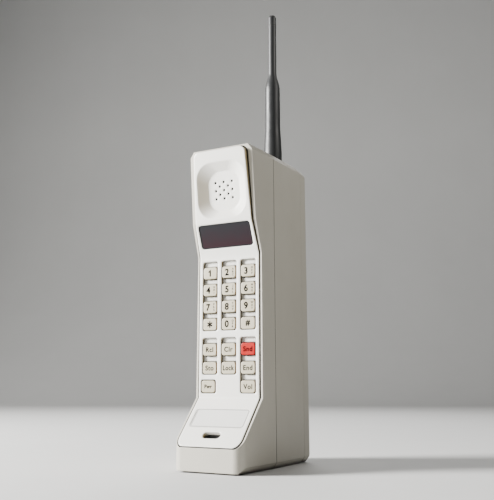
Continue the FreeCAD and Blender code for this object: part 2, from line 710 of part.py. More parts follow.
def antenna_lead():
    """The short coaxial lead from the socket to the filter."""
    low = drum("lead_drop", 1.1, 4, (ANT_X, ANT_Y, HEIGHT - 15), (0, 0, 1))
    side = drum("lead_side", 1.1, ANT_X - 3, (3, ANT_Y, HEIGHT - 15), (1, 0, 0))
    keep(group("lead", [low, side]), "antenna_lead")


# ---------------------------------------------------------------- battery

def battery():
    """The clip-on pack: outer case, inner lid, six cells, straps, contacts and latch."""
    owner = body("pack_shell")
    slab = sketch(owner, "pack_slab", "XZ_Plane", -BACK)
    polygon(slab, housing_section(0.15, 0.45))
    feature(owner, "Pad", slab, BACK - BAYTOP - 0.5)
    nose = sketch(owner, "pack_nose", "XZ_Plane", -BAYTOP - 0.5)
    rectangle(nose, 0, 93, size(31.6), size(159.2))
    feature(owner, "Pad", nose, 10.5)
    hollow = sketch(owner, "pack_hollow", "XZ_Plane", -BAYTOP + 10.4)
    rectangle(hollow, 0, 93, size(29.4), size(156))
    feature(owner, "Pocket", hollow, 18.4)
    slot = sketch(owner, "latch_slot", "XZ_Plane", -BACK - 1)
    rectangle(slot, 0, LATCH_LOW + LATCH_HIGH / 2, size(LATCH_WIDE), size(LATCH_HIGH))
    feature(owner, "Pocket", slot, 5, flip=True)
    thumb = sketch(owner, "thumb_scoop", "XZ_Plane", -BACK - 1)
    rectangle(thumb, 0, 169, size(14), size(10))
    feature(owner, "Pocket", thumb, 1.7, flip=True)
    dress(owner, "Fillet", 2.6, lambda edge: abs(middle(edge).y - BACK.value) < 0.01
          and (abs(middle(edge).x) > 19 or middle(edge).z < 1 or middle(edge).z > 190))
    keep(owner, "battery_case")
    lid = block("pack_lid", (-14.5, BAYTOP - 10, 15.2), (14.5, BAYTOP - 8.8, 170.8))
    keep(lid, "battery_lid")
    radius, high = dim("cellr"), dim("cellhigh")
    cells, straps = [], []
    for side in (-1, 1):
        for row in range(3):
            base = 16.4 + row * 51.4
            place = (radius + 0.15) * side
            can = drum(f"cell_{side}_{row}", radius, high, (place, BAYTOP - 1, base))
            button = drum(f"button_{side}_{row}", 2.6, 0.8, (place, BAYTOP - 1, high + base))
            cells.append(group(f"cell_whole_{side}_{row}", [can, button]))
        straps.append(block(f"strap_{side}", (radius * side - 2, BAYTOP - 4, 15.6),
                            (radius * side + 2, BAYTOP + 2, 16.1)))
    straps.append(block("strap_bridge", (-9, BAYTOP - 4, 170.1), (9, BAYTOP + 2, 170.6)))
    keep(group("cell_set", cells), "battery_cells")
    keep(group("strap_set", straps), "cell_straps")
    plates = [drum(f"pad_{side}", 2.4, 0.4, (side * 10, BAYTOP - 10.4, 20), (0, 1, 0)) for side in (-1, 1)]
    keep(group("pads", plates), "battery_contacts")
    springs = [drum(f"plunger_{side}", 1.6, 13.3, (side * 10, BAYTOP - 24, 20), (0, 1, 0))
               for side in (-1, 1)]
    keep(group("plungers", springs), "contact_plungers")


def latch():
    """The ribbed slide that frees the pack; it rests at the top of its slot and moves down."""
    owner = body("latch_slide")
    low = LATCH_LOW + LATCH_GAP + dim("latchrun")
    high = LATCH_LOW + LATCH_HIGH - LATCH_GAP
    outline = sketch(owner, "latch_outline", "XZ_Plane", -BACK + 0.4)
    rectangle(outline, 0, (low + high) / 2, size(LATCH_WIDE - LATCH_GAP * 2), high - low)
    feature(owner, "Pad", outline, 3.2)
    ribs = sketch(owner, "latch_ribs", "XZ_Plane", -BACK)
    for number in range(4):
        rectangle(ribs, 0, low + 1.5 + number * 1.9, size(14), size(0.9))
    feature(owner, "Pad", ribs, 0.6)
    return keep(owner, "battery_latch")


# ---------------------------------------------------------------- build and export

def build():
    front_housing()
    rear_housing()
    seam_gasket()
    face_panel()
    display_window()
    nameplate()
    for name, across, level in key_places():
        key(name, across, level)
    _, board_front = dome_sheet()
    keypad_board(board_front)
    led_display()
    earpiece()
    microphone()
    chassis()
    boards()
    ringer()
    connector()
    screws()
    antenna()
    antenna_lead()
    battery()
    latch()


def export():
    """Checks every object and then writes each sub-part."""
    DOC.recompute()
    broken = [item.Label for item in DOC.Objects if {"Invalid", "Error"} & set(item.State)]
    bad = [item.Label for item in PARTS
           if item.Shape.isNull() or not item.Shape.isValid() or item.Shape.Volume < 1]
    if broken or bad:
        raise RuntimeError(f"failed objects {broken}, invalid shapes {bad}")
    os.makedirs("parts", exist_ok=True)
    for item in PARTS:
        item.Shape.exportStep(f"parts/{item.Label}.step")
        extent = item.Shape.BoundBox
        print(f"{item.Label:22s} solids {len(item.Shape.Solids):2d} volume {item.Shape.Volume:9.1f}"
              f"  y {extent.YMin:6.1f} {extent.YMax:6.1f}  z {extent.ZMin:6.1f} {extent.ZMax:6.1f}")
    print(len(PARTS), "sub-parts")


build()
export()
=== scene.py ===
"""Early handheld mobile phone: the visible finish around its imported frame."""

import logging
import math
from collections import defaultdict
from dataclasses import dataclass, field
from enum import Enum
from typing import Callable, Optional, Sequence

import bmesh
import bpy
from mathutils import Matrix, Vector

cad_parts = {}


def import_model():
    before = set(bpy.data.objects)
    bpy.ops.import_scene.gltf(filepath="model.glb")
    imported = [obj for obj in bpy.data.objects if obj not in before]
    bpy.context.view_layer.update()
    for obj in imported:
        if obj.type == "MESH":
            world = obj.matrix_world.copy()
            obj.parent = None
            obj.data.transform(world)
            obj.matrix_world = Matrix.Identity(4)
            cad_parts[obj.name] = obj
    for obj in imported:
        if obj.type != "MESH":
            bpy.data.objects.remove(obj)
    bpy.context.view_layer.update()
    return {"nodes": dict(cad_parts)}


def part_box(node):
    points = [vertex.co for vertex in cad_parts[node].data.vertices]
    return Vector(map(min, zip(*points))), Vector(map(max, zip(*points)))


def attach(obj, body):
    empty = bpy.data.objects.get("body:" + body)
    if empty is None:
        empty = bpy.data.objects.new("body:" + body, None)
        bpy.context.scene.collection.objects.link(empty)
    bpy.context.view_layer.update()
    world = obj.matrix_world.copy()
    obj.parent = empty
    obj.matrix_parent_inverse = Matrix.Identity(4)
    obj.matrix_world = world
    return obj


LOG = logging.getLogger("phone")
MM = 0.001
SHARP = math.radians(28)
FRONT_LEAN = 0.1
INK_MM = 0.03
STROKE_COPIES = 8
STROKE_SPACING = 0.9
WORD_MM = 3.1
WORD_LIMIT_MM = 7.4
CAPITAL_SHARE = 0.7
FLAG_REACH_MM = 0.9
FLAG_DROP_MM = 0.95
FLAG_TIP_MM = 0.35
FLAG_ROOT_MM = 0.7
DUST_COLOUR = (0.62, 0.60, 0.56)
# Colour of the painted shade mixed into gaps and recesses.
GAP_SHADE_COLOUR = (0.03, 0.022, 0.015)
COPPER_COLOUR = (0.25, 0.42, 0.16)
# How far the painted shade in gaps reaches.
GAP_SHADE_REACH_MM = 3.5
SMEAR_SMOOTHER = 0.05
SMEAR_ROUGHER = 0.08
DUST_ROUGHER = 0.4
LIT_POINT = (0.0, 0.0, 0.12)
Colour = tuple[float, float, float]
Point = tuple[float, float]


# ---------------------------------------------------------------- shader helpers

class Graph:
    """A node tree with short calls for adding and joining nodes."""

    def __init__(self, tree: bpy.types.NodeTree) -> None:
        """Keeps the tree that the nodes go into."""
        self.tree = tree

    def add(self, kind: str, inputs: Optional[dict] = None, **settings: object) -> bpy.types.Node:
        """Adds a node.

        Args:
            kind: the node's type name without its ShaderNode prefix, unless it has another.
            inputs: socket name or number to a value, or to an output socket to join.
            settings: the node's own attributes.

        Returns:
            The new node.
        """
        name = kind if kind.startswith(("Shader", "Node")) else f"ShaderNode{kind}"
        node = self.tree.nodes.new(name)
        for key, value in settings.items():
            setattr(node, key, value)
        for key, value in (inputs or {}).items():
            if isinstance(value, bpy.types.NodeSocket):
                self.tree.links.new(value, node.inputs[key])
            else:
                node.inputs[key].default_value = value
        return node

    def mix(self, amount: object, low: object, high: object, blend: str = "MIX") -> bpy.types.NodeSocket:
        """Mixes two colours.

        Args:
            amount: factor, a value or a socket.
            low: colour at factor 0.
            high: colour at factor 1.
            blend: Blender's blend type.

        Returns:
            The mixed colour's socket.
        """
        node = self.add("Mix", data_type="RGBA", blend_type=blend)
        for spot, value in ((0, amount), (6, low), (7, high)):
            if isinstance(value, bpy.types.NodeSocket):
                self.tree.links.new(value, node.inputs[spot])
            elif spot == 0:
                node.inputs[0].default_value = value
            else:
                node.inputs[spot].default_value = (*value, 1.0) if len(value) == 3 else value
        return node.outputs[2]

    def math(self, operation: str, *values: object) -> bpy.types.NodeSocket:
        """One arithmetic step on values or sockets."""
        node = self.add("Math", dict(enumerate(values)), operation=operation)
        return node.outputs[0]

    def ramp(self, source: bpy.types.NodeSocket, low: float, high: float,
             start: float = 0.0, end: float = 1.0) -> bpy.types.NodeSocket:
        """Maps a value from low..high to start..end, clamped."""
        node = self.add("MapRange", {0: source, 1: low, 2: high, 3: start, 4: end})
        return node.outputs[0]


def new_group(name: str, inputs: Sequence[tuple[str, float]], outputs: Sequence[tuple[str, str]],
              ) -> tuple[bpy.types.NodeTree, Graph, bpy.types.Node, bpy.types.Node]:
    """Starts a shader node group.

    Args:
        name: the group's name.
        inputs: float input names with their defaults.
        outputs: output names with their socket types.

    Returns:
        The group, its graph, its input node and its output node.
    """
    tree = bpy.data.node_groups.new(name, "ShaderNodeTree")
    for label, default in inputs:
        socket = tree.interface.new_socket(name=label, in_out="INPUT", socket_type="NodeSocketFloat")
        socket.default_value = default
    for label, kind in outputs:
        tree.interface.new_socket(name=label, in_out="OUTPUT", socket_type=kind)
    graph = Graph(tree)
    return tree, graph, graph.add("NodeGroupInput"), graph.add("NodeGroupOutput")


class Effects:
    """The shader node groups that several finishes share, each built once."""

    def __init__(self) -> None:
        """Builds every group."""
        self.grain = self._grain()
        self.mottle = self._mottle()
        self.wear = self._wear()
        self.dust = self._dust()
        self.cavity_shade = self._cavity_shade()

    @staticmethod
    def _grain() -> bpy.types.NodeTree:
        """Fine moulded texture: a height that rises and falls over a chosen pitch.

        Returns:
            The node group.
        """
        tree, graph, source, sink = new_group(
            "MouldGrain", [("Pitch mm", 0.4), ("Pebble", 0.5)], [("Height", "NodeSocketFloat")])
        place = graph.add("TexCoord").outputs["Object"]
        scale = graph.math("DIVIDE", 1000.0, source.outputs["Pitch mm"])
        noise = graph.add("TexNoise", {"Vector": place, "Scale": scale, "Detail": 2.0})
        cells = graph.add("TexVoronoi", {"Vector": place, "Scale": scale})
        pebble = graph.math("MULTIPLY", cells.outputs["Distance"], source.outputs["Pebble"])
        height = graph.math("SUBTRACT", noise.outputs["Fac"], pebble)
        graph.tree.links.new(height, sink.inputs["Height"])
        return tree

    @staticmethod
    def _mottle() -> bpy.types.NodeTree:
        """Slow colour variation: a mask of wide soft clouds and faint flow streaks.

        Returns:
            The node group.
        """
        tree, graph, source, sink = new_group(
            "Mottle", [("Size mm", 30.0), ("Streak", 0.3)], [("Mask", "NodeSocketFloat")])
        place = graph.add("TexCoord").outputs["Object"]
        scale = graph.math("DIVIDE", 1000.0, source.outputs["Size mm"])
        cloud = graph.add("TexNoise", {"Vector": place, "Scale": scale, "Detail": 4.0, "Roughness": 0.6})
        long = graph.add("Mapping", {"Vector": place, "Scale": (3.0, 3.0, 0.25)})
        flow = graph.add("TexNoise", {"Vector": long.outputs[0], "Scale": scale, "Detail": 3.0})
        streak = graph.math("MULTIPLY", flow.outputs["Fac"], source.outputs["Streak"])
        both = graph.math("ADD", cloud.outputs["Fac"], streak)
        graph.tree.links.new(graph.ramp(both, 0.35, 0.95), sink.inputs["Mask"])
        return tree

    @staticmethod
    def _wear() -> bpy.types.NodeTree:
        """Edge wear: a mask that is high where a rounded edge turns, broken up by noise.

        Returns:
            The node group.
        """
        tree, graph, source, sink = new_group(
            "EdgeWear", [("Radius mm", 0.6), ("Break", 0.5)], [("Mask", "NodeSocketFloat")])
        radius = graph.math("MULTIPLY", source.outputs["Radius mm"], MM)
        soft = graph.add("Bevel", {"Radius": radius}, samples=4)
        plain = graph.add("NewGeometry").outputs["Normal"]
        dot = graph.add("VectorMath", {0: soft.outputs[0], 1: plain}, operation="DOT_PRODUCT")
        edge = graph.ramp(dot.outputs["Value"], 0.995, 0.90)
        place = graph.add("TexCoord").outputs["Object"]
        chips = graph.add("TexNoise", {"Vector": place, "Scale": 900.0, "Detail": 4.0})
        broken = graph.math("MULTIPLY", chips.outputs["Fac"], source.outputs["Break"])
        keep = graph.math("SUBTRACT", edge, broken)
        graph.tree.links.new(graph.ramp(keep, 0.0, 0.7), sink.inputs["Mask"])
        return tree

    @staticmethod
    def _dust() -> bpy.types.NodeTree:
        """Dust and handling marks: a roughness change and a thin film on faces that look up.

        Returns:
            The node group.
        """
        tree, graph, source, sink = new_group(
            "Dust", [("Amount", 0.3)], [("Mask", "NodeSocketFloat"), ("Smear", "NodeSocketFloat")])
        place = graph.add("TexCoord").outputs["Object"]
        normal = graph.add("NewGeometry").outputs["Normal"]
        up = graph.add("SeparateXYZ", {0: normal}).outputs["Z"]
        specks = graph.add("TexNoise", {"Vector": place, "Scale": 1600.0, "Detail": 3.0})
        grains = graph.ramp(specks.outputs["Fac"], 0.62, 0.74)
        film = graph.math("MULTIPLY", graph.ramp(up, 0.2, 1.0), 0.6)
        both = graph.math("ADD", graph.math("MULTIPLY", grains, 0.5), film)
        graph.tree.links.new(graph.math("MULTIPLY", both, source.outputs["Amount"]), sink.inputs["Mask"])
        smear = graph.add("TexNoise", {"Vector": place, "Scale": 60.0, "Detail": 5.0, "Distortion": 0.8})
        graph.tree.links.new(smear.outputs["Fac"], sink.inputs["Smear"])
        return tree

    @staticmethod
    def _cavity_shade() -> bpy.types.NodeTree:
        """Painted shade in gaps: a mask that is high where the surroundings close in within a few
        millimetres.

        Returns:
            The node group.
        """
        tree, graph, source, sink = new_group(
            "CavityShade", [("Reach mm", 3.0), ("Open", 0.72), ("Closed", 0.36)], [("Mask", "NodeSocketFloat")])
        reach = graph.math("MULTIPLY", source.outputs["Reach mm"], MM)
        open_share = graph.add("AmbientOcclusion", {"Distance": reach}, samples=8).outputs["AO"]
        mask = graph.add("MapRange", {0: open_share, 1: source.outputs["Open"], 2: source.outputs["Closed"],
                                      3: 0.0, 4: 1.0})
        graph.tree.links.new(mask.outputs[0], sink.inputs["Mask"])
        return tree


class Surface(Enum):
    """The kinds of surface that a finish can be made of."""

    MOULDED = "moulded"
    METAL = "metal"
    RUBBER = "rubber"
    BOARD = "board"


@dataclass(frozen=True)
class Finish:
    """One finish of the phone, with the numbers that its material needs."""

    name: str
    base: Colour
    shade: Colour
    worn: Colour
    rough: float = 0.45
    surface: Surface = Surface.MOULDED
    grain_mm: float = 0.4
    grain_depth: float = 0.05
    mottle_mm: float = 30.0
    wear: float = 0.3
    dust: float = 0.2
    coat: float = 0.0
    # Colour of the painted shade on walls that look away from the key light.
    painted_side_shade: Optional[Colour] = None
    # How strongly painted shade darkens gaps and recesses.
    painted_gap_shade: float = 0.0
    round_mm: float = 0.0
    specular: float = 0.5

    def material(self, effects: Effects) -> bpy.types.Material:
        """Builds the finish's material.

        Args:
            effects: the shared node groups.

        Returns:
            The material.
        """
        material = bpy.data.materials.new(self.name)
        material.use_nodes = True
        graph = Graph(material.node_tree)
        shader = material.node_tree.nodes["Principled BSDF"]
        mottle = self._group(graph, effects.mottle, {"Size mm": self.mottle_mm})
        wear = self._group(graph, effects.wear, {"Break": 0.6})
        dust = self._group(graph, effects.dust, {"Amount": self.dust})
        grain = self._group(graph, effects.grain, {"Pitch mm": self.grain_mm})
        colour = graph.mix(mottle.outputs["Mask"], self.base, self.shade)
        # Painted shade: walls that look away from the key light get a warmer, darker colour.
        if self.painted_side_shade:
            colour = self._paint_side_shade(graph, colour)
        worn = graph.math("MULTIPLY", wear.outputs["Mask"], self.wear)
        colour = graph.mix(worn, colour, self.worn)
        if self.surface is Surface.BOARD:
            colour = self._traces(graph, colour)
        colour = graph.mix(dust.outputs["Mask"], colour, DUST_COLOUR)
        # Painted shade: the colour darkens where gaps and recesses close in.
        if self.painted_gap_shade:
            cavity_shade = self._group(graph, effects.cavity_shade, {"Reach mm": GAP_SHADE_REACH_MM})
            amount = graph.math("MULTIPLY", cavity_shade.outputs["Mask"], self.painted_gap_shade)
            colour = graph.mix(amount, colour, GAP_SHADE_COLOUR)
        graph.tree.links.new(colour, shader.inputs["Base Color"])
        smear = graph.ramp(dust.outputs["Smear"], 0.3, 0.7, self.rough - SMEAR_SMOOTHER,
                           self.rough + SMEAR_ROUGHER)
        rough = graph.math("ADD", smear, graph.math("MULTIPLY", dust.outputs["Mask"], DUST_ROUGHER))
        graph.tree.links.new(rough, shader.inputs["Roughness"])
        bump = graph.add("Bump", {"Height": grain.outputs["Height"], "Strength": 0.6,
                                  "Distance": self.grain_depth * MM})
        if self.round_mm:
            rounding = graph.add("Bevel", {"Radius": self.round_mm * MM}, samples=8)
            graph.tree.links.new(rounding.outputs[0], bump.inputs["Normal"])
        graph.tree.links.new(bump.outputs[0], shader.inputs["Normal"])
        shader.inputs["Metallic"].default_value = 1.0 if self.surface is Surface.METAL else 0.0
        shader.inputs["Specular IOR Level"].default_value = self.specular
        shader.inputs["Coat Weight"].default_value = self.coat
        shader.inputs["Coat Roughness"].default_value = 0.12
        return material

    @staticmethod
    def _group(graph: Graph, tree: bpy.types.NodeTree, values: dict[str, float]) -> bpy.types.Node:
        """Places one shared group with its own values.

        Args:
            graph: the material's graph.
            tree: the shared group.
            values: input names with their values.

        Returns:
            The group's node.
        """
        node = graph.add("Group", node_tree=tree)
        for label, value in values.items():
            node.inputs[label].default_value = value
        return node

    def _paint_side_shade(self, graph: Graph, colour: bpy.types.NodeSocket) -> bpy.types.NodeSocket:
        """Paints shade on the walls that look along +X, away from the key light: a warmer, darker colour.

        Args:
            graph: the material's graph.
            colour: the colour so far.

        Returns:
            The colour with the painted shade.
        """
        normal = graph.add("NewGeometry").outputs["Normal"]
        across = graph.add("SeparateXYZ", {0: normal}).outputs["X"]
        return graph.mix(graph.ramp(across, 0.3, 0.95), colour, self.painted_side_shade)

    @staticmethod
    def _traces(graph: Graph, colour: bpy.types.NodeSocket) -> bpy.types.NodeSocket:
        """Draws copper runs under the solder mask.

        Args:
            graph: the material's graph.
            colour: the colour so far.

        Returns:
            The colour with the runs.
        """
        place = graph.add("TexCoord").outputs["Object"]
        runs = graph.add("TexBrick", {"Vector": place, "Scale": 260.0, "Mortar Size": 0.035})
        return graph.mix(runs.outputs["Fac"], colour, COPPER_COLOUR)


class Palette:
    """Every material of the phone, made when first asked for."""

    # In the finishes below, the side colours and gap amounts set painted shade.
    FINISHES = (
        Finish("housing_plastic", (0.50, 0.475, 0.41), (0.46, 0.435, 0.37), (0.66, 0.64, 0.58),
               rough=0.5, grain_mm=0.35, grain_depth=0.06, dust=0.2, painted_gap_shade=0.9, round_mm=0.5),
        Finish("panel_plastic", (0.86, 0.845, 0.80), (0.83, 0.81, 0.75), (0.88, 0.87, 0.84),
               rough=0.36, grain_mm=0.3, grain_depth=0.015, dust=0.06, coat=0.1,
               painted_side_shade=(0.55, 0.44, 0.24), painted_gap_shade=0.95, round_mm=1.3),
        Finish("key_cream", (0.52, 0.475, 0.36), (0.46, 0.41, 0.29), (0.62, 0.58, 0.47),
               rough=0.34, grain_depth=0.01, painted_side_shade=(0.50, 0.25, 0.07), dust=0.04, painted_gap_shade=0.7,
               round_mm=0.35),
        Finish("key_red", (0.42, 0.004, 0.001), (0.36, 0.003, 0.001), (0.52, 0.014, 0.005),
               rough=0.34, grain_depth=0.01, painted_side_shade=(0.30, 0.012, 0.003), dust=0.0, painted_gap_shade=0.7,
               round_mm=0.35, specular=0.25),
        Finish("seal_rubber", (0.055, 0.045, 0.037), (0.04, 0.032, 0.028), (0.09, 0.08, 0.07),
               rough=0.7, surface=Surface.RUBBER),
        Finish("whip_rubber", (0.014, 0.015, 0.016), (0.02, 0.021, 0.022), (0.05, 0.05, 0.05),
               rough=0.42, surface=Surface.RUBBER, grain_mm=0.5, grain_depth=0.02, dust=0.12),
        Finish("grey_rubber", (0.16, 0.16, 0.17), (0.13, 0.13, 0.14), (0.2, 0.2, 0.2), rough=0.65,
               surface=Surface.RUBBER),
        Finish("circuit_board", (0.03, 0.16, 0.06), (0.025, 0.13, 0.05), (0.3, 0.35, 0.2), rough=0.35,
               surface=Surface.BOARD, mottle_mm=12),
        Finish("chip_black", (0.018, 0.018, 0.02), (0.03, 0.03, 0.03), (0.08, 0.08, 0.08), rough=0.5),
        Finish("latch_grey", (0.10, 0.10, 0.10), (0.08, 0.08, 0.08), (0.2, 0.2, 0.19), rough=0.5, wear=0.6),
        Finish("bright_steel", (0.62, 0.62, 0.63), (0.5, 0.5, 0.5), (0.8, 0.8, 0.8), rough=0.28,
               surface=Surface.METAL, grain_depth=0.01),
        Finish("dark_steel", (0.10, 0.10, 0.11), (0.07, 0.07, 0.07), (0.4, 0.4, 0.4), rough=0.4,
               surface=Surface.METAL, wear=0.7),
        Finish("casting_metal", (0.5, 0.51, 0.52), (0.42, 0.43, 0.44), (0.7, 0.7, 0.7), rough=0.5,
               surface=Surface.METAL, grain_mm=0.8, grain_depth=0.08),
        Finish("contact_brass", (0.75, 0.55, 0.22), (0.6, 0.42, 0.16), (0.85, 0.7, 0.4), rough=0.25,
               surface=Surface.METAL, grain_depth=0.01),
        Finish("plate_satin", (0.75, 0.745, 0.72), (0.71, 0.70, 0.67), (0.85, 0.85, 0.84), rough=0.3,
               grain_mm=0.2, grain_depth=0.01, wear=0.5),
        Finish("cell_sleeve", (0.05, 0.15, 0.32), (0.04, 0.12, 0.26), (0.2, 0.3, 0.4), rough=0.25, coat=0.3),
        Finish("numeral_case", (0.10, 0.008, 0.01), (0.07, 0.005, 0.008), (0.2, 0.03, 0.03), rough=0.2),
        Finish("felt_black", (0.02, 0.02, 0.02), (0.03, 0.03, 0.03), (0.05, 0.05, 0.05), rough=0.95,
               surface=Surface.RUBBER, grain_mm=0.25, grain_depth=0.15),
        Finish("legend_ink", (0.014, 0.014, 0.017), (0.024, 0.024, 0.028), (0.05, 0.05, 0.05), rough=0.6,
               grain_depth=0.005, wear=0.1, dust=0.0, specular=0.15),
        Finish("border_ink", (0.42, 0.41, 0.39), (0.36, 0.35, 0.33), (0.5, 0.5, 0.48), rough=0.5,
               grain_depth=0.005),
        Finish("frame_ink", (0.010, 0.010, 0.012), (0.016, 0.016, 0.018), (0.03, 0.03, 0.03), rough=0.5,
               grain_depth=0.005, dust=0.0, specular=0.08),
        # Painted shadow: near-black walls for the sound holes in the ear dish.
        Finish("hole_shadow_paint", (0.008, 0.007, 0.006), (0.012, 0.011, 0.010), (0.02, 0.02, 0.02), rough=0.9,
               dust=0.0, wear=0.0, specular=0.05),
        Finish("floor_paper", (0.60, 0.60, 0.59), (0.57, 0.57, 0.56), (0.60, 0.60, 0.59), rough=0.8,
               wear=0.0, dust=0.0, mottle_mm=200, grain_mm=1.0, grain_depth=0.02),
    )

    def __init__(self) -> None:
        """Starts with the shared effects and no materials."""
        self.effects = Effects()
        self.known = {finish.name: finish for finish in self.FINISHES}
        self.made: dict[str, bpy.types.Material] = {}

    def __getitem__(self, name: str) -> bpy.types.Material:
        """The material of that name, made now if it is new.

        Args:
            name: the finish's name.

        Returns:
            The material.
        """
        if name not in self.made:
            if name == "smoked_lens":
                self.made[name] = self._lens()
            else:
                self.made[name] = self.known[name].material(self.effects)
        return self.made[name]

    def _lens(self) -> bpy.types.Material:
        """Smoked red acrylic over the numerals: dark and deep, redder towards its foot.

        Returns:
            The material.
        """
        material = bpy.data.materials.new("smoked_lens")
        material.use_nodes = True
        graph = Graph(material.node_tree)
        shader = material.node_tree.nodes["Principled BSDF"]
        place = graph.add("TexCoord").outputs["Object"]
        height = graph.add("SeparateXYZ", {0: place}).outputs["Z"]
        low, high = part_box("display_window")
        rise = graph.ramp(height, low.z, high.z)
        cloud = graph.add("TexNoise", {"Vector": place, "Scale": 180.0, "Detail": 4.0})
        rise = graph.math("ADD", rise, graph.ramp(cloud.outputs["Fac"], 0.3, 0.7, -0.12, 0.12))
        colour = graph.mix(rise, (0.020, 0.006, 0.010), (0.010, 0.011, 0.014))
        graph.tree.links.new(colour, shader.inputs["Base Color"])
        rough = graph.ramp(cloud.outputs["Fac"], 0.3, 0.7, 0.10, 0.20)
        graph.tree.links.new(rough, shader.inputs["Roughness"])
        shader.inputs["Specular IOR Level"].default_value = 0.16
        shader.inputs["Coat Weight"].default_value = 0.06
        shader.inputs["Coat Roughness"].default_value = 0.15
        return material


# ---------------------------------------------------------------- mesh helpers

EdgeShare = Callable[[Vector, Vector, Vector], float]


def soften(piece: bpy.types.Object, radius_mm: float, segments: int = 3,
           share: Optional[EdgeShare] = None) -> None:
    """Rounds a CAD node's edges with modifiers, so that they catch the light.

    Args:
        piece: the node's object.
        radius_mm: how far the rounding reaches.
        segments: how many faces the rounding has.
        share: how much of the radius a sharp edge gets, from its middle in millimetres and the
            normals on both sides; without it every sharp edge gets as much as fits.
    """
    weld = piece.modifiers.new("join", "WELD")
    weld.merge_threshold = 1e-6
    bevel = piece.modifiers.new("edges", "BEVEL")
    bevel.width = radius_mm * MM
    bevel.segments = segments
    bevel.limit_method = "WEIGHT" if share else "ANGLE"
    bevel.angle_limit = SHARP
    bevel.use_clamp_overlap = share is None
    bevel.miter_outer = "MITER_ARC"
    if share:
        weigh_edges(piece.data, share)
    shade = piece.modifiers.new("shade", "WEIGHTED_NORMAL")
    shade.keep_sharp = False


def weigh_edges(mesh: bpy.types.Mesh, share: EdgeShare) -> None:
    """Stores each sharp edge's bevel weight.

    Args:
        mesh: the mesh, whose faces may not share their vertices.
        share: gives the weight.
    """
    spots = [tuple(round(value / MM, 3) for value in vertex.co) for vertex in mesh.vertices]
    sides: dict[frozenset, list[Vector]] = defaultdict(list)
    for polygon in mesh.polygons:
        for start, end in polygon.edge_keys:
            sides[frozenset((spots[start], spots[end]))].append(polygon.normal.copy())
    weights = mesh.attributes.new("bevel_weight_edge", "FLOAT", "EDGE")
    for edge in mesh.edges:
        start, end = (spots[vertex] for vertex in edge.vertices)
        normals = sides[frozenset((start, end))]
        if len(normals) == 2 and normals[0].angle(normals[1], 0.0) > SHARP:
            weights.data[edge.index].value = share((Vector(start) + Vector(end)) / 2, *normals)


def paint(piece: bpy.types.Object, material: bpy.types.Material) -> None:
    """Gives a piece one material in its first slot, and no other."""
    piece.data.materials.clear()
    piece.data.materials.append(material)


def as_object(name: str, shape: bpy.types.ID) -> bpy.types.Object:
    """Links a mesh or a text curve into the scene.

    Args:
        name: the object's name.
        shape: its mesh or curve.

    Returns:
        The object.
    """
    piece = bpy.data.objects.new(name, shape)
    bpy.context.scene.collection.objects.link(piece)
    return piece


# ---------------------------------------------------------------- sub-assemblies

@dataclass
class Shells:
    """The outer shells, the seal between them and the battery's latch."""

    palette: Palette
    nodes: dict[str, bpy.types.Object]
    edge_mm: float = 1.0
    front_edge_mm: float = 0.5
    latch_edge_mm: float = 0.25
    top_mm: float = 194.5
    cap_mm: float = 6.0
    seal_mm: float = 4.0
    seal_reach_mm: float = 0.6
    seal_share: float = 0.25
    outer_mm: float = 17.0
    wall_lean: float = 0.5

    def dress(self) -> None:
        """Softens and finishes the shells."""
        soften(self.nodes["front_housing"], self.front_edge_mm)
        for name in ("rear_housing", "battery_case"):
            soften(self.nodes[name], self.edge_mm, segments=4, share=self._outer_share)
        for name in ("front_housing", "rear_housing", "battery_case"):
            paint(self.nodes[name], self.palette["housing_plastic"])
        paint(self.nodes["seam_gasket"], self.palette["seal_rubber"])
        paint(self.nodes["battery_latch"], self.palette["latch_grey"])
        soften(self.nodes["battery_latch"], self.latch_edge_mm, segments=2)
        LOG.info("shells dressed")

    def _outer_share(self, middle: Vector, first: Vector, second: Vector) -> float:
        """Full rounding where both sides face away from the phone, and a little along the seal.

        Args:
            middle: the edge's middle, in millimetres.
            first: the normal on one side.
            second: the normal on the other side.

        Returns:
            The edge's share of the rounding.
        """
        outward = Vector((middle.x, 0, middle.z - self.top_mm / 2))
        if abs(outward.z) < self.top_mm / 2 - self.cap_mm:
            outward.z = 0
        if abs(abs(middle.y) - self.seal_mm) < self.seal_reach_mm:
            return self.seal_share
        walls = [side for side in (first, second) if abs(side.y) < self.wall_lean]
        away = all(side.dot(outward) > 0 for side in walls)
        return 1.0 if away and abs(middle.x) > self.outer_mm else 0.0


